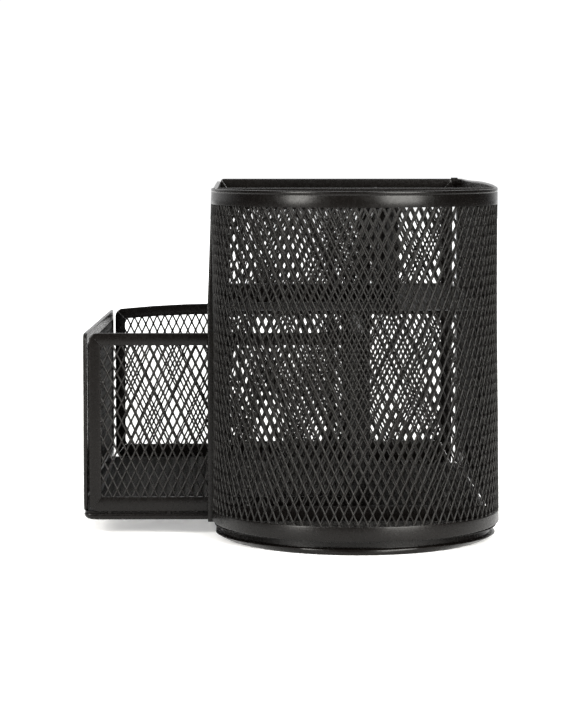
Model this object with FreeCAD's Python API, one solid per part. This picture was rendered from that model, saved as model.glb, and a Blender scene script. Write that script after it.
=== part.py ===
import FreeCAD, Part
import math
import os

Vec = FreeCAD.Vector

# A desk organizer of framed metal mesh: a half-round pen cup, a box with a shelf and dividers
# behind it, and a drawer that slides out to -X. All lengths are in mm.
# Everything is drawn about the centre of the half round, and ROW_SHIFT then moves it to the
# row frame, whose origin is the middle of the base with the drawer part of the way out.

# Outline
CUP_R = 45.0
REAR_Y = 158.5
BEND_Y = 149.7
BEND_R = 24.0
HEIGHT = 109.0

# Drawer at rest
DRAWER_X0 = -85.4
DRAWER_X1 = 4.4
DRAWER_Y0 = 3.0
DRAWER_Y1 = 154.0
DRAWER_Z0 = 4.6
DRAWER_Z1 = 63.5
DRAWER_T = 1.2
LIP_H = 1.9
DRAWER_FLOOR_T = 0.6
DRAWER_STILE = 3.8
DRAWER_TOP_RAIL = 3.9
DRAWER_LOW_RAIL = 4.7
DRAWER_END_GAP = 0.6
DRAWER_CORNER_R = 2.6

# Sheet and rail sizes
SKIN_T = 0.8
PANEL_T = 1.4
MESH_T = 0.6
BAND_H = 4.9
LOW_BAND_Z0 = 4.35
LOW_BAND_Z1 = 8.8
FLOOR_Z = 3.7
FLOOR_T = 0.55
SHELF_Z = 69.4
SHELF_T = 1.3
SHELF_X0 = -46.2
STILE_W = 2.8

# The left end post flares outwards below the top band, and the left panel leans with it
POST_LOW_X = -46.3
POST_TOP_X = -44.9
POST_FLARE_Z = 73.0
LEFT_LEAN_DEG = 1.8

# Foot
FOOT_INSET = 2.1
FOOT_W = 3.2
FOOT_H = 2.0
FOOT_EDGE = 0.8
NECK_INSET = 4.0
NECK_W = 1.2

# Rear panel
REAR_X0 = -43.7
REAR_X1 = 41.5
REAR_LOW_RAIL = 8.5
REAR_STILE_L = 3.3
REAR_STILE_R = 4.2
MID_POST_X = (6.6, 11.4)
THIN_BAR_X = (-4.5, -1.9)
END_POST_Y = 155.6
TAB_RISE = 0.3

# Dividers on the shelf
LONG_DIV_X = 12.0
LONG_DIV_Z = 106.0
CROSS_DIV_Y = 42.8
CROSS_DIV_Z = 106.0
CROSS_LOW_RAIL = 6.0

ROW_SHIFT = Vec(-(DRAWER_X0 + CUP_R) / 2, -(REAR_Y - CUP_R) / 2, 0)


def box(x0, x1, y0, y1, z0, z1):
    """A box from its low and high corners."""
    return Part.makeBox(x1 - x0, y1 - y0, z1 - z0, Vec(x0, y0, z0))


def save(name, shape):
    """Moves a shape to the row frame and writes its file."""
    placed = shape.copy()
    placed.translate(ROW_SHIFT)
    placed.exportStep(os.path.join("parts", name + ".step"))


def wall_path(inset, end_y):
    """Edges of the half round, the straight right side and its bent rear end."""
    r = CUP_R - inset
    bend = BEND_R - inset
    middle_x = CUP_R - BEND_R
    turn = math.asin((end_y - BEND_Y) / bend)
    half = Vec(middle_x + bend * math.cos(turn / 2), BEND_Y + bend * math.sin(turn / 2), 0)
    end = Vec(middle_x + bend * math.cos(turn), end_y, 0)
    front = Part.Arc(Vec(-r, 0, 0), Vec(0, -r, 0), Vec(r, 0, 0)).toShape()
    side = Part.makeLine(Vec(r, 0, 0), Vec(r, BEND_Y, 0))
    rear = Part.Arc(Vec(r, BEND_Y, 0), half, end).toShape()
    return [front, side, rear], end


def plan_face(inset, left_x, rear_y):
    """The D-shaped plan, with its wall moved in by inset."""
    edges, end = wall_path(inset, rear_y)
    r = CUP_R - inset
    corners = [end, Vec(left_x, rear_y, 0), Vec(left_x, 0, 0), Vec(-r, 0, 0)]
    for a, b in zip(corners, corners[1:]):
        if a.distanceToPoint(b) > 0.001:
            edges.append(Part.makeLine(a, b))
    return Part.Face(Part.Wire(edges))


def plan_plate(inset, left_x, rear_y, z0, z1):
    """A D-shaped plate."""
    face = plan_face(inset, left_x, rear_y)
    face.translate(Vec(0, 0, z0))
    return face.extrude(Vec(0, 0, z1 - z0))


def wall_strip(z0, z1):
    """A strip of the outer wall, from the drawer side round to the rear end."""
    outer, outer_end = wall_path(0, REAR_Y - 0.3)
    inner, inner_end = wall_path(SKIN_T, REAR_Y - 0.6)
    rear = Part.makeLine(outer_end, inner_end)
    front = Part.makeLine(Vec(-CUP_R + SKIN_T, 0, 0), Vec(-CUP_R, 0, 0))
    face = Part.Face(Part.Wire(outer + [rear] + inner[::-1] + [front]))
    face.translate(Vec(0, 0, z0))
    return face.extrude(Vec(0, 0, z1 - z0))


def round_top(shape, z, size):
    """Rounds every edge that lies at height z."""
    edges = [e for e in shape.Edges if all(abs(v.Z - z) < 1e-6 for v in e.Vertexes)]
    return shape.makeFillet(size, edges)


def round_corners(plate, axis, size):
    """Rounds the four corners of an upright plate whose thickness runs along axis."""
    edges = []
    for edge in plate.Edges:
        ends = [v.Point for v in edge.Vertexes]
        if abs((ends[1] - ends[0]).normalize().dot(axis)) > 0.99:
            edges.append(edge)
    return plate.makeFillet(size, edges)


def frame_xz(x0, x1, z0, z1, y, thick, sides, low, top, corner=0):
    """An upright rectangular frame that faces Y. sides is the left and right stile width."""
    outer = box(x0, x1, y, y + thick, z0, z1)
    if corner:
        outer = round_corners(outer, Vec(0, 1, 0), corner)
    window = box(x0 + sides[0], x1 - sides[1], y - 1, y + thick + 1, z0 + low, z1 - top)
    return outer.cut(window)


def pane_xz(x0, x1, z0, z1, y, thick, sides, low, top):
    """The mesh that fills the window of the frame with the same sizes."""
    inner = y + (thick - MESH_T) / 2
    return box(x0 + sides[0], x1 - sides[1], inner, inner + MESH_T, z0 + low, z1 - top)


def frame_yz(y0, y1, z0, z1, x, thick, stile, low, top, corner=0):
    """An upright rectangular frame that faces X."""
    outer = box(x, x + thick, y0, y1, z0, z1)
    if corner:
        outer = round_corners(outer, Vec(1, 0, 0), corner)
    window = box(x - 1, x + thick + 1, y0 + stile, y1 - stile, z0 + low, z1 - top)
    return outer.cut(window)


def pane_yz(y0, y1, z0, z1, x, thick, stile, low, top):
    """The mesh that fills the window of the frame with the same sizes."""
    inner = x + (thick - MESH_T) / 2
    return box(inner, inner + MESH_T, y0 + stile, y1 - stile, z0 + low, z1 - top)


def base():
    """The foot ring with its recessed neck, and the base floor."""
    rear = REAR_Y - 0.6
    ring = plan_plate(FOOT_INSET, -CUP_R + FOOT_INSET, rear - FOOT_INSET, 0, FOOT_H)
    ring = round_top(ring, FOOT_H, FOOT_EDGE)
    inside = FOOT_INSET + FOOT_W
    ring = ring.cut(plan_plate(inside, -CUP_R + inside, rear - inside, -1, FOOT_H + 1))
    neck = plan_plate(NECK_INSET, -CUP_R + NECK_INSET, rear - NECK_INSET, FOOT_H, FLOOR_Z)
    inside = NECK_INSET + NECK_W
    neck = neck.cut(plan_plate(inside, -CUP_R + inside, rear - inside, 0, FLOOR_Z + 1))
    save("foot_ring", ring.fuse(neck).removeSplitter())

    floor_end = REAR_Y - PANEL_T
    left = -CUP_R + PANEL_T
    top = FLOOR_Z + FLOOR_T
    edge = SKIN_T + STILE_W
    outer = plan_plate(SKIN_T, left, floor_end, FLOOR_Z, top)
    sill = box(-CUP_R, left, 0, floor_end, FLOOR_Z, top)
    window = plan_plate(edge, -CUP_R + edge, floor_end - STILE_W, FLOOR_Z - 1, top + 1)
    save("floor_frame", outer.fuse(sill).removeSplitter().cut(window))
    pane = plan_plate(edge, -CUP_R + edge, floor_end - STILE_W, FLOOR_Z + 0.05, top - 0.05)
    save("floor_mesh", pane)


def left_post():
    """The strip that closes the wall's left end."""
    foot = FLOOR_Z + FLOOR_T
    inner_x = -CUP_R + PANEL_T
    outline = [(POST_LOW_X, foot), (inner_x, foot), (inner_x, HEIGHT), (POST_TOP_X, HEIGHT)]
    outline.append((POST_LOW_X, POST_FLARE_Z))
    corners = [Vec(x, 0, z) for x, z in outline]
    face = Part.Face(Part.makePolygon(corners + corners[:1]))
    return face.extrude(Vec(0, PANEL_T, 0))


def lean(shape):
    """Tips the left panel outwards about its top edge, to follow the flared post."""
    tipped = shape.copy()
    tipped.rotate(Vec(-CUP_R, 0, HEIGHT), Vec(0, 1, 0), LEFT_LEAN_DEG)
    return tipped


def outer_wall():
    """The half-round and right wall: mesh, two bands, the two end posts and the corner tab."""
    low = LOW_BAND_Z1
    high = HEIGHT - BAND_H
    top_band = round_top(wall_strip(high, HEIGHT), HEIGHT, 0.35)
    save("top_band", top_band)
    save("bottom_band", wall_strip(LOW_BAND_Z0, low))
    sheet = wall_strip(low, high)
    rear_part = box(0, CUP_R + 1, END_POST_Y, REAR_Y + 1, low, high)
    save("wall_mesh", sheet.cut(rear_part))
    save("rear_right_post", sheet.common(rear_part))
    save("front_left_post", left_post())
    tab = box(REAR_X1, CUP_R - 1.4, REAR_Y - PANEL_T, REAR_Y, high, HEIGHT + TAB_RISE)
    tab = tab.cut(wall_strip(high, HEIGHT + 1))
    save("rear_corner_tab", max(tab.Solids, key=lambda s: s.Volume))


def rear_panel():
    """The flat end panel: frame, mesh, wide middle post and thin bar."""
    y = REAR_Y - PANEL_T
    sides = (REAR_STILE_L, REAR_STILE_R)
    size = (REAR_X0, REAR_X1, FLOOR_Z, HEIGHT)
    save("rear_frame", frame_xz(*size, y, PANEL_T, sides, REAR_LOW_RAIL, BAND_H))
    low = FLOOR_Z + REAR_LOW_RAIL
    high = HEIGHT - BAND_H
    left = REAR_X0 + REAR_STILE_L
    right = REAR_X1 - REAR_STILE_R
    save("rear_mesh", box(left, right, y, y + MESH_T, low, high))
    save("rear_mid_post", box(*MID_POST_X, y + MESH_T, REAR_Y, low, high))
    save("rear_thin_bar", box(*THIN_BAR_X, y + MESH_T, REAR_Y, low, high))


def cup_partition():
    """The pen cup's flat back wall."""
    size = (-CUP_R + PANEL_T, CUP_R - SKIN_T, FLOOR_Z + FLOOR_T, HEIGHT)
    rest = (0, PANEL_T, (STILE_W, STILE_W), BAND_H, BAND_H)
    save("cup_partition_frame", frame_xz(*size, *rest))
    save("cup_partition_mesh", pane_xz(*size, *rest))


def shelf():
    """The shelf over the drawer."""
    x0, x1 = SHELF_X0, CUP_R - SKIN_T - 1.3
    y0, y1 = PANEL_T, REAR_Y - PANEL_T
    z0, z1 = SHELF_Z, SHELF_Z + SHELF_T
    outer = box(x0, x1, y0, y1, z0, z1)
    side = box(x1, CUP_R - SKIN_T, y0, BEND_Y, z0, z1)
    window = box(x0 + STILE_W, x1 - STILE_W, y0 + STILE_W, y1 - STILE_W, z0 - 1, z1 + 1)
    save("shelf_frame", outer.fuse(side).removeSplitter().cut(window))
    pane = box(x0 + STILE_W, x1 - STILE_W, y0 + STILE_W, y1 - STILE_W, z0 + 0.4, z0 + 1.0)
    save("shelf_mesh", pane)


def shelf_dividers():
    """The upper left side panel, and the two dividers that stand on the shelf."""
    base_z = SHELF_Z + SHELF_T
    y0, y1 = PANEL_T, REAR_Y - PANEL_T
    size = (y0, y1, base_z + 0.05, HEIGHT)
    rest = (-CUP_R, PANEL_T, STILE_W, BAND_H, BAND_H)
    save("left_panel_frame", lean(frame_yz(*size, *rest)))
    save("left_panel_mesh", lean(pane_yz(*size, *rest)))
    size = (y0, y1, base_z, LONG_DIV_Z)
    rest = (LONG_DIV_X, PANEL_T, STILE_W, BAND_H, BAND_H)
    save("long_divider_frame", frame_yz(*size, *rest))
    save("long_divider_mesh", pane_yz(*size, *rest))
    size = (-CUP_R + PANEL_T, LONG_DIV_X, base_z, CROSS_DIV_Z)
    rest = (CROSS_DIV_Y, PANEL_T, (STILE_W, STILE_W), CROSS_LOW_RAIL, BAND_H)
    save("cross_divider_frame", frame_xz(*size, *rest))
    save("cross_divider_mesh", pane_xz(*size, *rest))


def drawer_walls():
    """The drawer's four framed mesh walls. The outer end stands just outside the side walls."""
    base_z = DRAWER_Z0 + LIP_H + DRAWER_FLOOR_T
    rails = (DRAWER_LOW_RAIL, DRAWER_TOP_RAIL)
    side_x0 = DRAWER_X0 + DRAWER_T + DRAWER_END_GAP
    size = (side_x0, DRAWER_X1, base_z, DRAWER_Z1)
    sides = (DRAWER_STILE, DRAWER_STILE)
    for name, y in (("near", DRAWER_Y0), ("far", DRAWER_Y1 - DRAWER_T)):
        rest = (y, DRAWER_T, sides, *rails)
        save("drawer_" + name + "_frame", frame_xz(*size, *rest, DRAWER_CORNER_R))
        save("drawer_" + name + "_mesh", pane_xz(*size, *rest))

    size = (DRAWER_Y0, DRAWER_Y1, base_z, DRAWER_Z1)
    rest = (DRAWER_X0, DRAWER_T, DRAWER_STILE, *rails)
    save("drawer_outer_end_frame", frame_yz(*size, *rest, DRAWER_CORNER_R))
    save("drawer_outer_end_mesh", pane_yz(*size, *rest))

    size = (DRAWER_Y0 + DRAWER_T, DRAWER_Y1 - DRAWER_T, base_z, DRAWER_Z1)
    rest = (DRAWER_X1 - DRAWER_T, DRAWER_T, DRAWER_STILE - DRAWER_T, *rails)
    save("drawer_inner_end_frame", frame_yz(*size, *rest))
    save("drawer_inner_end_mesh", pane_yz(*size, *rest))


def drawer_bottom():
    """The drawer's floor mesh, the lip under it, and the weld spots in the slot between."""
    z1 = DRAWER_Z0 + LIP_H
    outer = box(DRAWER_X0, DRAWER_X1, DRAWER_Y0, DRAWER_Y1, DRAWER_Z0, z1)
    w = 2.4
    hole = box(DRAWER_X0 + w, DRAWER_X1 - w, DRAWER_Y0 + w, DRAWER_Y1 - w, 0, z1 + 1)
    corners = [e for e in outer.Edges if abs(e.Vertexes[0].Z - e.Vertexes[1].Z) > 1]
    save("drawer_lip", outer.makeFillet(1.0, corners).cut(hole))
    d = 0.6
    z2 = z1 + DRAWER_FLOOR_T
    floor = box(DRAWER_X0 + d, DRAWER_X1 - d, DRAWER_Y0 + d, DRAWER_Y1 - d, z1, z2)
    save("drawer_floor_mesh", floor)
    spots = []
    for i in range(5):
        x = DRAWER_X0 + 8 + i * (DRAWER_X1 - DRAWER_X0 - 16) / 4
        for y in (DRAWER_Y0 + 0.05, DRAWER_Y1 - d):
            spots.append(box(x - 0.8, x + 0.8, y, y + d - 0.05, z1, z2))
    for i in range(7):
        y = DRAWER_Y0 + 10 + i * (DRAWER_Y1 - DRAWER_Y0 - 20) / 6
        for x in (DRAWER_X0 + 0.05, DRAWER_X1 - d):
            spots.append(box(x, x + d - 0.05, y - 0.8, y + 0.8, z1, z2))
    save("drawer_weld_spots", Part.makeCompound(spots))


def main():
    os.makedirs("parts", exist_ok=True)
    base()
    outer_wall()
    rear_panel()
    cup_partition()
    shelf()
    shelf_dividers()
    drawer_walls()
    drawer_bottom()


main()
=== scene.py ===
import math

import bmesh
import bpy
import numpy as np
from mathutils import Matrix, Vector


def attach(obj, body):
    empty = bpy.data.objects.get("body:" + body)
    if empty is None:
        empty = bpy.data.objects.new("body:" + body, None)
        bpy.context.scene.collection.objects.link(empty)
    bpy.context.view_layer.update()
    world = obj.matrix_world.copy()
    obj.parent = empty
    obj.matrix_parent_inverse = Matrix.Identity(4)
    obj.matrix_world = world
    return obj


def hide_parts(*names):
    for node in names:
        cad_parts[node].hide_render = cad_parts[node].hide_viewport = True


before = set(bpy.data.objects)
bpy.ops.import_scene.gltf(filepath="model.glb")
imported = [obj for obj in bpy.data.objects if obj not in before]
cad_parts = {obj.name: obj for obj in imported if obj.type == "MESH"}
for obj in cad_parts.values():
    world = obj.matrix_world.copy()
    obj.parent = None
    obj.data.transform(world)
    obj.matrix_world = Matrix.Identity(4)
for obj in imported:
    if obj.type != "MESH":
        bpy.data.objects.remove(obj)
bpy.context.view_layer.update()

# Lengths below are in mm about the centre of the half-round cup, and place() turns them into
# the row frame in metres.
MM = 0.001

# Body: the half round's radius, the rear corner's bend, and the rear panel's outer and inner faces
R = 45.0
BEND_Y, BEND_R = 149.7, 24.0
SKIN, PANEL = 0.8, 1.4
REAR_Y = 158.5
REAR_FACE = REAR_Y - PANEL

# Heights: the base floor, the bottom band's lower edge, and the wall mesh between the two bands
HEIGHT = 109.0
BAND_H = 4.9
FLOOR_Z = 3.7
LOW_BAND0 = 4.35
LOW, HIGH = 8.8, HEIGHT - BAND_H

# Panels inside the body
INNER_X0 = -43.6
LEFT_Z0 = 70.75
DIVIDER_X = 12.0
DIVIDER_Z0, DIVIDER_Z1 = 70.7, 106.0

# Drawer: its outer box, and where its walls start
DX0, DX1, DY0, DY1, DZ0, DZ1 = -85.4, 4.4, 3.0, 154.0, 4.6, 63.5
DRAWER_SKIN = 1.2
WALL_Z0 = DZ0 + 2.5
SIDE_X0 = DX0 + DRAWER_SKIN + 0.6

# From the cup's centre to the middle of the row frame
SHIFT = np.array([-(DX0 + R) / 2, -(REAR_Y - R) / 2, 0.0])

# Mesh: a cell's width and height, and a strand's half-width, half-thickness and lean
CELL = (2.9, 6.1)
CELL_TURNED = CELL[::-1]
STRAND_A, STRAND_B = 0.38, 0.24
STRAND_LEAN = math.radians(-32)
STRAND_STOPS = np.array([0.0, 0.22, 0.78, 1.0])
SHORTEST_STRAND = 0.08
SHEET_LAP = 0.5

# Folded strips: the usual width, and how their mitred, rounded corners are cut
STRIP = 2.8
SEAM = 0.04
MITRE = 0.293
CORNER_STOPS = 1 - np.sin(np.radians([45, 33, 22, 11, 0]))
FOLD_ANGLE = math.radians(40)

rng = np.random.default_rng(7)


# ---------------------------------------------------------------- mesh building

def place(points):
    """mm about the cup centre to metres in the row frame."""
    return (np.asarray(points, float) + SHIFT) * MM


def add_piece(mesh, name, node, body, slot):
    """Puts a mesh in the scene as a visual piece that stands for a CAD node."""
    mesh.materials.append(COATS[slot])
    obj = bpy.data.objects.new(name, mesh)
    bpy.context.scene.collection.objects.link(obj)
    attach(obj, body)
    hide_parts(node)


class Shape:
    """Collects the vertices and faces of one solid piece."""

    def __init__(self):
        self.verts, self.faces, self.count = [], [], 0

    def add(self, verts, faces):
        self.verts.append(verts)
        self.faces.extend((np.asarray(face) + self.count).tolist() for face in faces)
        self.count += len(verts)

    def grid(self, rings):
        """Skins rings that have the same number of points, and caps both ends."""
        rings = np.asarray(rings, float)
        m, k = rings.shape[:2]
        faces = []
        for i in range(m - 1):
            for j in range(k):
                a, b = i * k + j, i * k + (j + 1) % k
                faces.append([a, b, b + k, a + k])
        faces.append(list(range(k))[::-1])
        faces.append(list(range((m - 1) * k, m * k)))
        self.add(rings.reshape(-1, 3), faces)

    def ring(self, loops):
        """Skins closed loops, the last of which joins the first."""
        loops = np.asarray(loops, float)
        m, k = loops.shape[:2]
        faces = []
        for i in range(m):
            for j in range(k):
                a, b = i * k + j, i * k + (j + 1) % k
                c, d = ((i + 1) % m) * k + (j + 1) % k, ((i + 1) % m) * k + j
                faces.append([a, b, c, d])
        self.add(loops.reshape(-1, 3), faces)

    def finish(self, name, node=None, body="body", slot="rail_coat"):
        """Makes the piece, with its normals outwards and its folds crisp."""
        mesh = bpy.data.meshes.new(name)
        mesh.from_pydata(place(np.concatenate(self.verts)).tolist(), [], self.faces)
        mesh.validate()
        bm = bmesh.new()
        bm.from_mesh(mesh)
        bmesh.ops.recalc_face_normals(bm, faces=bm.faces)
        bm.to_mesh(mesh)
        bm.free()
        mesh.shade_smooth()
        mesh.set_sharp_from_angle(angle=FOLD_ANGLE)
        add_piece(mesh, name, node or name, body, slot)


def rounded(w0, w1, d0, d1, r, steps=3):
    """A rounded rectangle's outline, as (across, depth) points, counter-clockwise."""
    r = min(r, (w1 - w0) / 2.01, (d1 - d0) / 2.01)
    centres = ((w1 - r, d1 - r), (w0 + r, d1 - r), (w0 + r, d0 + r), (w1 - r, d0 + r))
    out = []
    for quarter, (cx, cy) in enumerate(centres):
        for i in range(steps + 1):
            a = math.radians(90 * quarter + 90 * i / steps)
            out.append((cx + r * math.cos(a), cy + r * math.sin(a)))
    return np.array(out)


def at_height(points, z):
    """Plan points (x, y) lifted to one height."""
    return np.column_stack([points, np.full(len(points), z)])


def bar(shape, x0, x1, y0, y1, z0, z1, edge=0.3, steps=5, along="z"):
    """Adds a straight strip with rounded edges to a shape."""
    if along == "z":
        section = rounded(x0, x1, y0, y1, edge)
        rings = [at_height(section, z) for z in np.linspace(z0, z1, steps)]
    elif along == "y":
        across, up = rounded(x0, x1, z0, z1, edge).T
        rings = [np.column_stack([across, np.full(len(up), y), up]) for y in np.linspace(y0, y1, steps)]
    else:
        section = rounded(y0, y1, z0, z1, edge)
        rings = [np.column_stack([np.full(len(section), x), section]) for x in np.linspace(x0, x1, steps)]
    shape.grid(rings)


# ---------------------------------------------------------------- wall path

HALF_ROUND = math.pi * R
WALL_END = HALF_ROUND + BEND_Y + BEND_R * math.asin((REAR_Y - 0.3 - BEND_Y) / BEND_R)


def wall(u, d):
    """Plan points of the outer wall: u along it from the drawer side, d out from its outer face."""
    u = np.asarray(u, float)
    d = np.asarray(d, float)
    round_angle = math.pi + np.minimum(u, HALF_ROUND) / R
    straight = np.clip(u - HALF_ROUND, 0, BEND_Y)
    bend_angle = np.maximum(u - HALF_ROUND - BEND_Y, 0) / BEND_R
    front = u <= HALF_ROUND
    bent = u > HALF_ROUND + BEND_Y
    bend_x = R - BEND_R + (BEND_R + d) * np.cos(bend_angle)
    bend_y = BEND_Y + (BEND_R + d) * np.sin(bend_angle)
    x = np.where(front, (R + d) * np.cos(round_angle), np.where(bent, bend_x, R + d))
    y = np.where(front, (R + d) * np.sin(round_angle), np.where(bent, bend_y, straight))
    return x, y


def wall_stops():
    """Steps along the wall: fine on the curves and coarse on the straight."""
    front = np.linspace(0, HALF_ROUND, 73)
    side = np.linspace(HALF_ROUND, HALF_ROUND + BEND_Y, 12)
    bend = np.linspace(HALF_ROUND + BEND_Y, WALL_END, 7)
    return np.unique(np.concatenate([front, side, bend]))


# ---------------------------------------------------------------- expanded mesh

def lattice(outline, pitch, phase):
    """Strands of a diamond lattice inside a convex outline.

    Gives each strand's two ends, its family (1 rises to the right, -1 to the left) and which part
    of a whole strand it is, as two fractions.
    """
    pu, pv = pitch
    outline = np.asarray(outline, float)
    lo, hi = outline.min(0), outline.max(0)
    i0, i1 = int((lo[0] - phase[0]) / pu * 2) - 2, int((hi[0] - phase[0]) / pu * 2) + 3
    j0, j1 = int((lo[1] - phase[1]) / pv * 2) - 2, int((hi[1] - phase[1]) / pv * 2) + 3
    i, j = np.meshgrid(np.arange(i0, i1), np.arange(j0, j1), indexing="ij")
    keep = (i + j) % 2 == 0
    knots = np.stack([phase[0] + i[keep] * pu / 2, phase[1] + j[keep] * pv / 2], 1)
    start = np.concatenate([knots, knots])
    family = np.repeat([1, -1], len(knots))
    run = np.stack([family * pu / 2, np.full(len(family), pv / 2)], 1)

    t0, t1 = np.zeros(len(start)), np.ones(len(start))
    for p, q in zip(outline, np.roll(outline, -1, axis=0)):
        inward = np.array([-(q - p)[1], (q - p)[0]])
        inside, slope = (start - p) @ inward, run @ inward
        with np.errstate(divide="ignore", invalid="ignore"):
            t = -inside / slope
        t0 = np.where(slope > 1e-12, np.maximum(t0, t), t0)
        t1 = np.where(slope < -1e-12, np.minimum(t1, t), t1)
        t1 = np.where((np.abs(slope) <= 1e-12) & (inside < 0), -1, t1)
    ok = t1 - t0 > SHORTEST_STRAND
    start, run, t0, t1 = start[ok], run[ok], t0[ok], t1[ok]
    return start + run * t0[:, None], start + run * t1[:, None], family[ok], t0, t1


def strands(outline, surface, phase, pitch, sides, fat):
    """Tubes for the mesh. surface(u, v, d) gives points, with d along the outward normal."""
    p, q, family, t0, t1 = lattice(outline, pitch, phase)
    run = q - p
    side = np.stack([-run[:, 1], run[:, 0]], 1) / np.linalg.norm(run, axis=1)[:, None]
    # a strand is widest at the knots, where it joins its neighbours
    at = t0[:, None] + (t1 - t0)[:, None] * STRAND_STOPS
    to_knot = (np.abs(at - 0.5) * 2) ** 3
    wide = (STRAND_A * fat * (1 + 0.36 * to_knot))[:, :, None]
    thick = (STRAND_B * (1 + 0.10 * to_knot))[:, :, None]
    # its broad face leans the same way on both families, as expanded metal's does
    turn = np.arange(sides) * 2 * math.pi / sides
    across, up = wide * np.cos(turn), thick * np.sin(turn)
    cos_lean, sin_lean = math.cos(STRAND_LEAN), math.sin(STRAND_LEAN)
    family = family[:, None, None]
    off = across * cos_lean - up * sin_lean * family
    out = across * sin_lean * family + up * cos_lean
    centre = p[:, None, :] + run[:, None, :] * STRAND_STOPS[None, :, None]
    uv = centre[:, :, None, :] + side[:, None, None, :] * off[..., None]
    verts = np.stack(surface(uv[..., 0], uv[..., 1], out), -1).reshape(-1, 3)

    rings = len(STRAND_STOPS)
    base = (np.arange(len(p)) * rings * sides)[:, None]
    faces = []
    for r in range(rings - 1):
        for s in range(sides):
            a, b = r * sides + s, r * sides + (s + 1) % sides
            faces.append(base + np.array([a, b, b + sides, a + sides]))
    return verts, np.concatenate(faces)


def sheet(name, outline, surface, phase, node=None, body="body", pitch=CELL, sides=6, fat=1.0):
    """One sheet of mesh as a visual piece, wound so that its normals point out."""
    verts, quads = strands(outline, surface, phase, pitch, sides, fat)
    points = place(verts)
    mesh = bpy.data.meshes.new(name)
    mesh.vertices.add(len(points))
    mesh.vertices.foreach_set("co", points.ravel())
    mesh.loops.add(len(quads) * 4)
    mesh.loops.foreach_set("vertex_index", quads.ravel())
    mesh.polygons.add(len(quads))
    mesh.polygons.foreach_set("loop_start", np.arange(len(quads)) * 4)
    mesh.update(calc_edges=True)
    mesh.shade_smooth()
    a, b, c = (points[quads[:, k]] for k in range(3))
    if np.einsum("ij,ij->i", a, np.cross(b - a, c - a)).sum() < 0:
        mesh.flip_normals()
    add_piece(mesh, name, node or name, body, "mesh_coat")


def rect(u0, u1, v0, v1, lap=0.0):
    return [(u0 - lap, v0 - lap), (u1 + lap, v0 - lap), (u1 + lap, v1 + lap), (u0 - lap, v1 + lap)]


def in_plane(axis, u, v, across):
    """x, y and z of points u, v in the plane across an axis."""
    if axis == "x":
        return across, u, v
    if axis == "y":
        return u, across, v
    return u, v, across


def flat_surface(axis, middle, sign=1, bend=None):
    """A flat sheet's surface, with d off it towards sign. bend moves the finished points."""
    def surface(u, v, d):
        points = in_plane(axis, u, v, middle + sign * d)
        if bend is None:
            return points
        return np.moveaxis(bend(np.stack(points, -1)), -1, 0)
    return surface


# ---------------------------------------------------------------- folded strips

def corner_depth(s, length, corner):
    """How far a rounded corner has cut into a strip's outer edge at distance s along it."""
    s = min(s, length - s)
    if s >= corner:
        return 0.0
    return corner - math.sqrt(corner ** 2 - (corner - s) ** 2)


def strip_rings(start, along, inward, length, width, meets, thick, edge, corner):
    """Rings (u, v, depth) of one mitred strip of a frame. meets holds the widths of the strips at
    its two ends."""
    section = rounded(0, width, 0, thick, edge)
    share = section[:, 0] / width
    cut = MITRE * corner
    turn = corner * CORNER_STOPS
    middle = np.linspace(corner, length - corner, 8)[1:-1]
    rings = []
    for outer in np.concatenate([turn, middle, length - turn[::-1]]):
        t = (outer - cut) / (length - 2 * cut)
        first = SEAM + cut + (meets[0] - cut) * share
        last = length - SEAM - cut - (meets[1] - cut) * share
        s = first + (last - first) * t
        lost = corner_depth(outer, length, corner)
        w = lost + share * (width - lost)
        uv = np.asarray(start) + s[:, None] * along + w[:, None] * inward
        rings.append((uv[:, 0], uv[:, 1], section[:, 1]))
    return rings


def framed_sheet(name, axis, plane, box, widths, phase, body="body", thick=PANEL, depth=None, sign=-1,
                 edge=0.32, corner=0.8, bend=None, **mesh_options):
    """A mesh sheet in a frame of four folded strips, as the pieces NAME_frame and NAME_mesh.

    box is the frame's (u0, u1, v0, v1) and widths its strips' (left, right, low, top). The frame
    starts at plane, and the sheet lies depth behind it. bend moves the points of both.
    """
    u0, u1, v0, v1 = box
    left, right, low, top = widths
    along_u, along_v = np.array([1.0, 0]), np.array([0, 1.0])
    sides = (
        ((u0, v0), along_u, along_v, u1 - u0, low, (left, right)),
        ((u0, v1), along_u, -along_v, u1 - u0, top, (left, right)),
        ((u0, v0), along_v, along_u, v1 - v0, left, (low, top)),
        ((u1, v0), along_v, -along_u, v1 - v0, right, (low, top)),
    )
    shape = Shape()
    for side in sides:
        rings = []
        for u, v, d in strip_rings(*side, thick, edge, corner):
            points = np.stack(in_plane(axis, u, v, plane + d), 1)
            rings.append(points if bend is None else bend(points))
        shape.grid(rings)
    shape.finish(name + "_frame", body=body)

    middle = plane + (thick / 2 if depth is None else depth)
    opening = rect(u0 + left, u1 - right, v0 + low, v1 - top, SHEET_LAP)
    sheet(name + "_mesh", opening, flat_surface(axis, middle, sign, bend), phase, body=body, **mesh_options)


# ---------------------------------------------------------------- small bends of the real object

def lean_in(x, y, z):
    """The right side leans in a little towards the top, but not where it meets the rear panel."""
    return 0.9 * np.clip((z - 40) / 60, 0, 1) * np.clip(x / R, 0, 1) * np.clip((150 - y) / 60, 0, 1)


def low_rise(x, y):
    """The bottom band's lower edge lifts towards the sides of the half round."""
    return 0.9 * np.clip(np.abs(x) / R, 0, 1) ** 4 * np.clip((90 - y) / 60, 0, 1)


def rim_rise(y):
    """The top rim stands a little proud along the front half of the right side."""
    return 0.95 * np.exp(-((y - 40) / 65) ** 2) * np.clip((y + 20) / 30, 0, 1)


def left_edge(z):
    """Outer edge of the left post: straight below the flare, then in towards the top."""
    return np.interp(z, [66.0, 73.0, 80.0, HEIGHT], [-46.3, -46.25, -45.95, -44.9])


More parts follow.
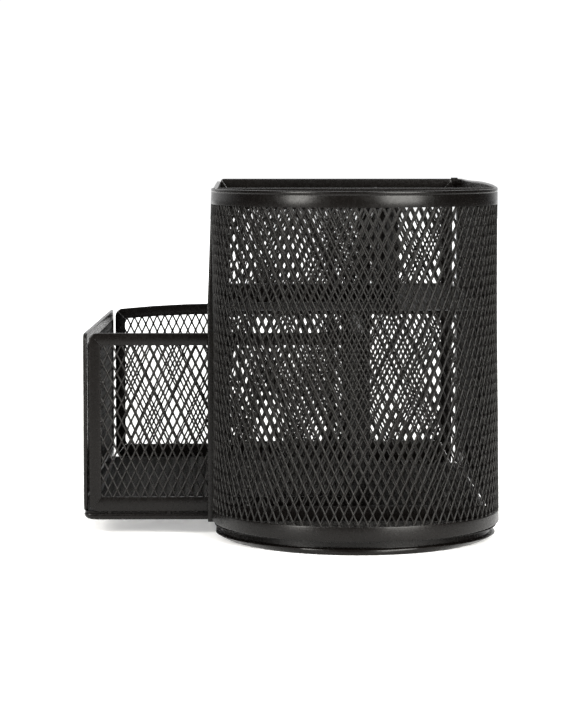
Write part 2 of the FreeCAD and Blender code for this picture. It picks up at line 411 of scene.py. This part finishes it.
def lean_out(points):
    """Tips the left panel outwards about its top edge."""
    lean = math.radians(1.8)
    p = np.array(points, float)
    x, z = p[..., 0] + R, p[..., 2] - HEIGHT
    p[..., 0] = -R + x * math.cos(lean) + z * math.sin(lean)
    p[..., 2] = HEIGHT - x * math.sin(lean) + z * math.cos(lean)
    p[..., 2] -= 0.024 * np.clip(p[..., 2] - LEFT_Z0, 0, None)
    return p


def foot_taper(line, z):
    """Moves a loop of the foot ring off the half round: its lower edge tapers in towards the
    sides, and its upper edge spreads there."""
    x, y = line.T
    front_y = np.minimum(y, 0)
    theta = np.arctan2(np.abs(x), -y)
    upper = min(z / 1.6, 1.0)
    give = (1 - upper) * 2.2 * np.sin(1.35 * theta) ** 2 - upper * 1.2 * np.sin(theta) ** 4
    give *= np.clip(1 - np.maximum(y, 0) / 30, 0, 1)
    share = give / np.hypot(x, front_y)
    return np.column_stack([x - x * share, y - front_y * share])


def low_far_end(points):
    """The drawer's outer end is bent: it gets lower and further in towards its far corner."""
    p = np.array(points, float)
    across = np.clip((p[..., 1] - DY0) / (DY1 - DY0), 0, 1)
    out = np.clip((-38 - p[..., 0]) / (-38 - SIDE_X0), 0, 1)
    up = np.clip((p[..., 2] - WALL_Z0) / (DZ1 - WALL_Z0), 0, 1)
    p[..., 2] -= 2.2 * across * out ** 2.2 * up
    p[..., 0] += 1.3 * across * out ** 2
    return p


# ---------------------------------------------------------------- shader helpers

def noise(tree, vector, scale, detail, roughness=0.55):
    """A noise texture's value."""
    node = tree.nodes.new("ShaderNodeTexNoise")
    node.inputs["Scale"].default_value = scale
    node.inputs["Detail"].default_value = detail
    node.inputs["Roughness"].default_value = roughness
    tree.links.new(vector, node.inputs["Vector"])
    return node.outputs[0]


def ramp(tree, value, *stops):
    """A colour ramp. Each stop is a position and a tone, either RGB or one grey level."""
    node = tree.nodes.new("ShaderNodeValToRGB")
    elements = node.color_ramp.elements
    while len(elements) < len(stops):
        elements.new(0.5)
    for element, (position, tone) in zip(elements, stops):
        element.position = position
        element.color = (*tone, 1.0) if isinstance(tone, tuple) else (tone, tone, tone, 1.0)
    tree.links.new(value, node.inputs[0])
    return node.outputs[0]


def relief(tree, height, strength, depth, under=None):
    """A bump's normal, laid over another normal if under gives one."""
    node = tree.nodes.new("ShaderNodeBump")
    node.inputs["Strength"].default_value = strength
    node.inputs["Distance"].default_value = depth
    tree.links.new(height, node.inputs["Height"])
    if under is not None:
        tree.links.new(under, node.inputs["Normal"])
    return node.outputs[0]


def math_node(tree, operation, *values):
    """A maths node's output. Each value is a number or another node's output."""
    node = tree.nodes.new("ShaderNodeMath")
    node.operation = operation
    for socket, value in zip(node.inputs, values):
        if isinstance(value, (int, float)):
            socket.default_value = value
        else:
            tree.links.new(value, socket)
    return node.outputs[0]


def split_coordinates(tree, space):
    """The X and Y outputs of a texture coordinate."""
    coordinates = tree.nodes.new("ShaderNodeTexCoord")
    split = tree.nodes.new("ShaderNodeSeparateXYZ")
    tree.links.new(coordinates.outputs[space], split.inputs[0])
    return split.outputs["X"], split.outputs["Y"]


def fade(tree, value, low, high):
    """0 to 1, smoothly, as a value goes from low to high."""
    node = tree.nodes.new("ShaderNodeMapRange")
    node.interpolation_type = "SMOOTHSTEP"
    tree.links.new(value, node.inputs["Value"])
    node.inputs["From Min"].default_value = low
    node.inputs["From Max"].default_value = high
    return node.outputs["Result"]


# ---------------------------------------------------------------- materials

WORN_TONE = (0.010, 0.009, 0.0085, 1)


def coat(name, tone, rough, bump, scale, spec):
    """Black powder coat: fine orange peel, uneven gloss, faint dust and small rubbed spots."""
    mat = bpy.data.materials.new(name)
    mat.use_nodes = True
    tree = mat.node_tree
    bsdf = tree.nodes["Principled BSDF"]
    link = tree.links.new
    on_object = tree.nodes.new("ShaderNodeTexCoord").outputs["Object"]
    grain = noise(tree, on_object, scale * 900, 2.0)
    peel = noise(tree, on_object, scale * 420, 2.0)

    darker, lighter = tuple(c * 0.72 for c in tone), tuple(c * 1.35 for c in tone)
    cloud = noise(tree, on_object, 28.0, 4.0)
    base = ramp(tree, cloud, (0.30, darker), (0.52, tone), (0.74, lighter))
    speck = noise(tree, on_object, 620.0, 2.0, 0.7)
    mix = tree.nodes.new("ShaderNodeMix")
    mix.data_type = "RGBA"
    mix.inputs["B"].default_value = WORN_TONE
    link(ramp(tree, speck, (0.70, 0.0), (0.80, 0.55)), mix.inputs["Factor"])
    link(base, mix.inputs["A"])
    link(mix.outputs["Result"], bsdf.inputs["Base Color"])

    link(ramp(tree, grain, (0.32, rough - 0.03), (0.68, rough + 0.04)), bsdf.inputs["Roughness"])
    orange_peel = relief(tree, peel, bump, 0.00012)
    link(relief(tree, grain, bump * 0.6, 0.00005, orange_peel), bsdf.inputs["Normal"])
    bsdf.inputs["Metallic"].default_value = 0.0
    bsdf.inputs["IOR"].default_value = 1.5
    bsdf.inputs["Specular IOR Level"].default_value = spec
    return mat


COATS = {
    "rail_coat": coat("rail_powder_coat", (0.0019, 0.0015, 0.0013), 0.26, bump=0.045, scale=1.0, spec=0.165),
    "mesh_coat": coat("mesh_powder_coat", (0.0021, 0.0017, 0.0014), 0.30, bump=0.12, scale=1.4, spec=0.15),
}


# ---------------------------------------------------------------- body: outer wall and base

def wall_surface(u, v, d):
    waist = 0.4 * np.sin(math.pi * (v - LOW) / (HIGH - LOW))
    x, y = wall(u, d - 0.30 - waist)
    return x - lean_in(x, y, v), y, v


def band(name, section):
    """A strip swept along the outer wall. section is (d, z) points."""
    out, z = np.array(section).T
    rings = []
    for u in wall_stops():
        x, y = wall(np.full(len(out), u), out)
        rise = rim_rise(y) * (x > 0) * np.clip((z - HIGH) / BAND_H, 0, 1)
        rise += low_rise(x, y) * (z < LOW_BAND0 + 1)
        rings.append(np.column_stack([x - lean_in(x, y, z), y, z + rise]))
    shape = Shape()
    shape.grid(rings)
    shape.finish(name)


def top_band():
    """The top band: a flat strip, a shallow groove and a rolled rim."""
    roll = 0.4
    groove = [(0.0, -1.45), (-0.06, -1.28), (-0.13, -1.18), (-0.06, -1.05), (0.0, -0.9)]
    section = [(-SKIN, HIGH), (-0.02, HIGH), (0.0, HIGH + 0.12)]
    section += [(d, HEIGHT + z) for d, z in groove]
    for a in np.radians(np.arange(0, 181, 22.5)):
        section.append((-roll + roll * math.cos(a), HEIGHT - roll + roll * math.sin(a)))
    section.append((-SKIN, HEIGHT - 2 * roll))
    band("top_band", section)


def bottom_band():
    section = [(-SKIN, LOW_BAND0), (-0.12, LOW_BAND0), (-0.03, LOW_BAND0 + 0.1), (0.0, LOW_BAND0 + 0.3)]
    section += [(0.0, LOW - 0.3), (-0.04, LOW - 0.1), (-0.14, LOW), (-SKIN, LOW)]
    band("bottom_band", section)


def left_post():
    """The post where the wall ends at the drawer side, with a softened top end."""
    shape = Shape()
    rings = []
    for z in [FLOOR_Z + 0.55, 20, 35, 50, 62, 68, 71, 74, 77, 81, 86, 92, 98, 104, 107.5, 108.5, HEIGHT]:
        shrink = 0.35 if z == HEIGHT else 0.0
        x0, x1 = left_edge(z) + shrink, -R + PANEL - shrink
        rings.append(at_height(rounded(x0, x1, shrink / 2, PANEL - shrink / 2, 0.62, 4), z))
    shape.grid(rings)
    shape.finish("front_left_post")


def right_post():
    """The post where the wall ends beside the rear panel."""
    depth = 2.9
    out, along = rounded(-SKIN, 0.0, 0, depth, 0.3).T
    plan = np.column_stack(wall(WALL_END - depth + along, out))
    shape = Shape()
    shape.grid([at_height(plan, z) for z in np.linspace(LOW, HIGH, 10)])
    shape.finish("rear_right_post")


# the wall's sheet is one piece; its two lengths here meet where the half round ends
WALL_LENGTHS = (("wall_mesh", -0.15, HALF_ROUND), ("wall_mesh_side", HALF_ROUND, WALL_END - 2.55))
for name, u0, u1 in WALL_LENGTHS:
    sheet(name, rect(u0, u1, LOW - 0.45, HIGH + 0.45), wall_surface, (0.4, LOW + 0.6),
          node="wall_mesh", fat=0.80)
top_band()
bottom_band()
left_post()
right_post()


# ---------------------------------------------------------------- body: flat panels

framed_sheet("rear", "y", REAR_FACE, (-43.7, 41.5, FLOOR_Z, HEIGHT), (3.3, 4.2, 8.5, BAND_H), (0.3, 1.1),
             depth=0.35, sign=1, edge=0.6, corner=1.2, fat=1.12)
for name, x0, x1 in (("rear_mid_post", 6.6, 11.4), ("rear_thin_bar", -4.5, -1.9)):
    upright = Shape()
    bar(upright, x0, x1, REAR_FACE + 0.6, REAR_Y, FLOOR_Z + 8.0, HIGH + 0.5, steps=8)
    upright.finish(name)

framed_sheet("cup_partition", "y", 0, (INNER_X0, 44.2, FLOOR_Z + 0.55, HEIGHT),
             (STRIP, STRIP, BAND_H, BAND_H), (1.2, 2.9), edge=0.6, fat=1.12)
framed_sheet("left_panel", "x", -R, (PANEL, REAR_FACE, LEFT_Z0, HEIGHT), (STRIP, STRIP, BAND_H, BAND_H),
             (0.7, 1.3), corner=1.2, bend=lean_out)
framed_sheet("long_divider", "x", DIVIDER_X, (PANEL, REAR_FACE, DIVIDER_Z0, DIVIDER_Z1),
             (STRIP, STRIP, BAND_H, BAND_H), (0.2, 2.3))
framed_sheet("cross_divider", "y", 42.8, (INNER_X0, DIVIDER_X, DIVIDER_Z0, DIVIDER_Z1),
             (STRIP, STRIP, 6.0, BAND_H), (0.9, 0.4), fat=1.12)
framed_sheet("shelf", "z", 69.4, (-46.2, 43.6, PANEL, REAR_FACE), (4.0, 3.4, STRIP, STRIP), (0.1, 0.2),
             thick=1.3, sign=1, pitch=CELL_TURNED, sides=5, fat=1.25)


# ---------------------------------------------------------------- body: base

def d_outline(inset, left, rear, steps=40):
    """The D-shaped plan as a convex outline, counter-clockwise."""
    r = R - inset
    points = [(r * math.cos(a), r * math.sin(a)) for a in np.linspace(math.pi, 2 * math.pi, steps)]
    points.append((r, BEND_Y))
    turn = math.asin((rear - BEND_Y) / (BEND_R - inset))
    for i in range(1, 5):
        a = turn * i / 4
        x = R - BEND_R + (BEND_R - inset) * math.cos(a)
        points.append((x, BEND_Y + (BEND_R - inset) * math.sin(a)))
    points.append((left, rear))
    return points


def base_ring(name, section, rear, taper=None):
    """A D-shaped ring. section is (inset, z) points. taper moves the loops below the floor."""
    loops = []
    for inset, z in section:
        line = np.array(d_outline(inset, -R + inset, rear - inset, 60))
        if taper and z < FLOOR_Z:
            line = taper(line, z)
        loops.append(at_height(line, z))
    shape = Shape()
    shape.ring(loops)
    shape.finish(name)


def foot_ring():
    """The foot: a rounded bead under a neck that is set further in."""
    bead = [(5.3, 0.0), (2.3, 0.0), (2.16, 0.05), (2.1, 0.2), (2.1, 0.8), (2.14, 1.2), (2.28, 1.55)]
    bead += [(2.5, 1.8), (2.8, 1.95), (3.2, 2.0)]
    neck = [(4.0, 2.0), (4.0, FLOOR_Z), (5.2, FLOOR_Z), (5.2, 2.0), (5.3, 2.0)]
    base_ring("foot_ring", bead + neck, REAR_Y - 0.6, foot_taper)


def floor_frame():
    width, top = 3.6, FLOOR_Z + 0.55
    section = [(3.3, FLOOR_Z), (0.8, top - 0.16), (0.8, top - 0.06), (0.9, top)]
    section += [(width - 0.1, top), (width, top - 0.1), (width, FLOOR_Z)]
    base_ring("floor_frame", section, REAR_FACE + 0.8)


def corner_tab():
    """The tab that joins the rear panel's top rail to the right wall."""
    shape = Shape()
    bar(shape, 40.9, 43.3, REAR_FACE + 0.1, REAR_Y - 0.05, 106.4, HEIGHT + 0.4, 0.55, 8, along="x")
    bar(shape, 41.3, 42.9, REAR_FACE + 0.35, REAR_Y - 0.3, HIGH, 106.8, steps=4)
    shape.finish("rear_corner_tab")


foot_ring()
floor_frame()
sheet("floor_mesh", d_outline(3.2, -R + 3.2, REAR_FACE - 2.4), flat_surface("z", 3.98), (0.3, 0.5),
      pitch=CELL_TURNED, sides=5, fat=1.5)
corner_tab()


# ---------------------------------------------------------------- drawer

WALL_STRIPS = (3.8, 3.8, 4.7, 3.9)
for name, y, sign in (("drawer_near", DY0, -1), ("drawer_far", DY1 - DRAWER_SKIN, 1)):
    framed_sheet(name, "y", y, (SIDE_X0, DX1, WALL_Z0, DZ1), WALL_STRIPS, (0.6, 2.0), "drawer",
                 thick=DRAWER_SKIN, sign=sign, corner=2.6, bend=low_far_end, fat=0.9)
framed_sheet("drawer_outer_end", "x", DX0, (DY0, DY1, WALL_Z0, DZ1), WALL_STRIPS, (0.5, 1.5), "drawer",
             thick=DRAWER_SKIN, edge=0.5, corner=2.6, bend=low_far_end)
framed_sheet("drawer_inner_end", "x", DX1 - DRAWER_SKIN, (DY0 + DRAWER_SKIN, DY1 - DRAWER_SKIN, WALL_Z0, DZ1),
             (2.6, 2.6, 4.7, 3.9), (0.5, 1.5), "drawer", thick=DRAWER_SKIN, sign=1)
sheet("drawer_floor_mesh", rect(DX0, DX1, DY0, DY1, -0.8), flat_surface("z", DZ0 + 2.2), (0.2, 0.6),
      body="drawer", pitch=CELL_TURNED, sides=5, fat=1.5)


def drawer_lip():
    """The channel under the drawer, with rounded plan corners and a turned-up outer end."""
    z0, z1 = DZ0, DZ0 + 1.9

    def loop(inset, z):
        turned_up = 1.9 - math.sqrt(max(1.9 ** 2 - (z1 - z) ** 2, 0))
        corner = max(2.5 - inset, 0.15)
        plan = rounded(DX0 + inset + turned_up, DX1 - inset, DY0 + inset, DY1 - inset, corner, 6)
        return at_height(plan, z)

    section = [(2.4, z0), (0.2, z0), (0.06, z0 + 0.04), (0.0, z0 + 0.15), (0.0, z0 + 0.4), (0.0, z0 + 0.75)]
    section += [(0.0, z1 - 0.4), (0.12, z1 - 0.12), (0.35, z1), (2.4, z1)]
    shape = Shape()
    shape.ring([loop(inset, z) for inset, z in section])
    shape.finish("drawer_lip", body="drawer")


def floor_edge():
    """The folded edge of the floor mesh, set back behind the slot between lip and walls."""
    z0, z1 = DZ0 + 1.85, DZ0 + 2.55
    near, far = 0.75, 3.2
    shape = Shape()
    for y0, y1 in ((DY0 + near, DY0 + far), (DY1 - far, DY1 - near)):
        bar(shape, DX0 + near, DX1 - near, y0, y1, z0, z1, 0.2, 9, along="x")
    for x0, x1 in ((DX0 + near, DX0 + far), (DX1 - far, DX1 - near)):
        bar(shape, x0, x1, DY0 + 0.8, DY1 - 0.8, z0, z1, 0.2, 9, along="y")
    shape.finish("drawer_floor_edge", "drawer_floor_mesh", "drawer", "mesh_coat")


def blob(shape, centre, radii):
    """Adds a small rounded spot of weld to a shape."""
    round_it = np.radians(np.arange(0, 360, 36))
    circle = np.column_stack([np.cos(round_it), np.sin(round_it), np.ones(10)])
    rings = []
    for tilt in np.radians([-80, -45, 0, 45, 80]):
        scale = np.array([math.cos(tilt), math.cos(tilt), math.sin(tilt)])
        rings.append(np.array(centre) + circle * scale * radii)
    shape.grid(rings)


def weld_spots():
    """Spot welds between the lip and the walls, each a little off its place."""
    z, wide, flat, tall, inset = DZ0 + 2.2, 0.95, 0.42, 0.45, 0.42
    shape = Shape()
    for x in np.linspace(DX0 + 8, DX1 - 8, 5):
        for y in (DY0 + inset, DY1 - inset):
            blob(shape, (x + rng.uniform(-0.5, 0.5), y, z), (wide, flat, tall))
    for y in np.linspace(DY0 + 10, DY1 - 10, 7):
        for x in (DX0 + inset, DX1 - inset):
            blob(shape, (x, y + rng.uniform(-0.5, 0.5), z), (flat, wide, tall))
    shape.finish("drawer_weld_spots", body="drawer")


drawer_lip()
floor_edge()
weld_spots()


# ---------------------------------------------------------------- stage, light, camera

def floor_material():
    """White paper round the object and behind it. Its grey at the sides and in front is painted shade, and
    its glow, brighter towards the back, is painted light.
    """
    mat = bpy.data.materials.new("stage_white")
    mat.use_nodes = True
    tree = mat.node_tree
    bsdf = tree.nodes["Principled BSDF"]
    x, y = split_coordinates(tree, "Object")
    aside = math_node(tree, "SUBTRACT", math_node(tree, "ABSOLUTE", x), math_node(tree, "MULTIPLY", y, 0.25))
    # painted shade: the paper turns grey, and stops glowing, at the sides and in front
    painted_light_mask = math_node(tree, "MULTIPLY", fade(tree, aside, 0.60, 0.33), fade(tree, y, -0.50, -0.34))
    fibres = tree.nodes.new("ShaderNodeTexNoise")
    fibres.inputs["Scale"].default_value = 3.0
    paper = math_node(tree, "MULTIPLY_ADD", fibres.outputs[0], 0.03, 0.86)
    shade = math_node(tree, "MULTIPLY", paper, math_node(tree, "MULTIPLY_ADD", painted_light_mask, 0.86, 0.14))
    # painted light: the paper glows, more strongly towards the back
    painted_glow = math_node(tree, "MULTIPLY_ADD", fade(tree, y, 0.45, 1.3), 0.84, 0.24)
    tree.links.new(shade, bsdf.inputs["Base Color"])
    tree.links.new(math_node(tree, "MULTIPLY", painted_light_mask, painted_glow), bsdf.inputs["Emission Strength"])
    bsdf.inputs["Emission Color"].default_value = (1, 1, 1, 1)
    bsdf.inputs["Roughness"].default_value = 0.7
    bsdf.inputs["Specular IOR Level"].default_value = 0.2
    return mat


def stage_floor():
    """A flat square of paper, 6 m wide."""
    half, cells = 3.0, 12
    mesh = bpy.data.meshes.new("stage_floor")
    line = np.linspace(-half, half, cells + 1)
    points = [(x, y, -0.0001) for x in line for y in line]
    faces = []
    for i in range(cells):
        for j in range(cells):
            a = i * (cells + 1) + j
            faces.append((a, a + cells + 1, a + cells + 2, a + 1))
    mesh.from_pydata(points, [], faces)
    mesh.materials.append(floor_material())
    obj = bpy.data.objects.new("stage_floor", mesh)
    bpy.context.scene.collection.objects.link(obj)


def area(name, offset, size, power, color=(1, 1, 1)):
    """A soft rectangular light at an offset in metres from the object's middle, aimed at it."""
    centre = place([0, 20, 55])
    light = bpy.data.lights.new(name, "AREA")
    light.shape = "RECTANGLE"
    light.size, light.size_y = size
    light.energy = power
    light.color = color
    obj = bpy.data.objects.new(name, light)
    obj.location = centre + np.array(offset)
    obj.rotation_euler = Vector(-np.array(offset)).to_track_quat("-Z", "Y").to_euler()
    bpy.context.scene.collection.objects.link(obj)


def studio_world():
    """Bright behind the object, dim behind the camera and to the right."""
    world = bpy.data.worlds.new("studio")
    bpy.context.scene.world = world
    world.use_nodes = True
    tree = world.node_tree
    background = tree.nodes["Background"]
    x, y = split_coordinates(tree, "Generated")
    back = math_node(tree, "MULTIPLY_ADD", y, 0.5, 0.5)
    level = math_node(tree, "MULTIPLY_ADD", math_node(tree, "MAXIMUM", x, 0.0), -0.28, back)
    tree.links.new(ramp(tree, level, (0.64, 0.09), (0.84, 1.0)), background.inputs["Color"])
    background.inputs["Strength"].default_value = 1.05


def camera():
    """A long lens in front of the half round, a little above it and nearly level."""
    lens = bpy.data.cameras.new("camera")
    lens.sensor_fit = "VERTICAL"
    lens.sensor_height = 36.0
    lens.lens = 141.2
    lens.dof.use_dof = False
    lens.clip_start = 0.05
    lens.clip_end = 20
    yaw, pitch = math.radians(0.785), math.radians(4.722)
    aim = Vector((math.sin(yaw) * math.cos(pitch), math.cos(yaw) * math.cos(pitch), -math.sin(pitch)))
    obj = bpy.data.objects.new("camera", lens)
    obj.location = place([-33.0, -880.6, 128.0])
    obj.rotation_euler = aim.to_track_quat("-Z", "Y").to_euler()
    bpy.context.scene.collection.objects.link(obj)
    bpy.context.scene.camera = obj


WARM = (1.0, 0.985, 0.94)
stage_floor()
area("soft_left", (-0.98, -0.92, 0.50), (0.42, 1.0), 35, WARM)
area("soft_right", (0.82, -1.15, 0.50), (0.80, 1.0), 57, WARM)
area("front_top", (0.0, -0.62, 1.15), (1.3, 0.35), 7)
area("top", (0.0, 0.85, 1.25), (1.6, 0.7), 11)
studio_world()
camera()
bpy.context.scene.view_settings.view_transform = "Standard"
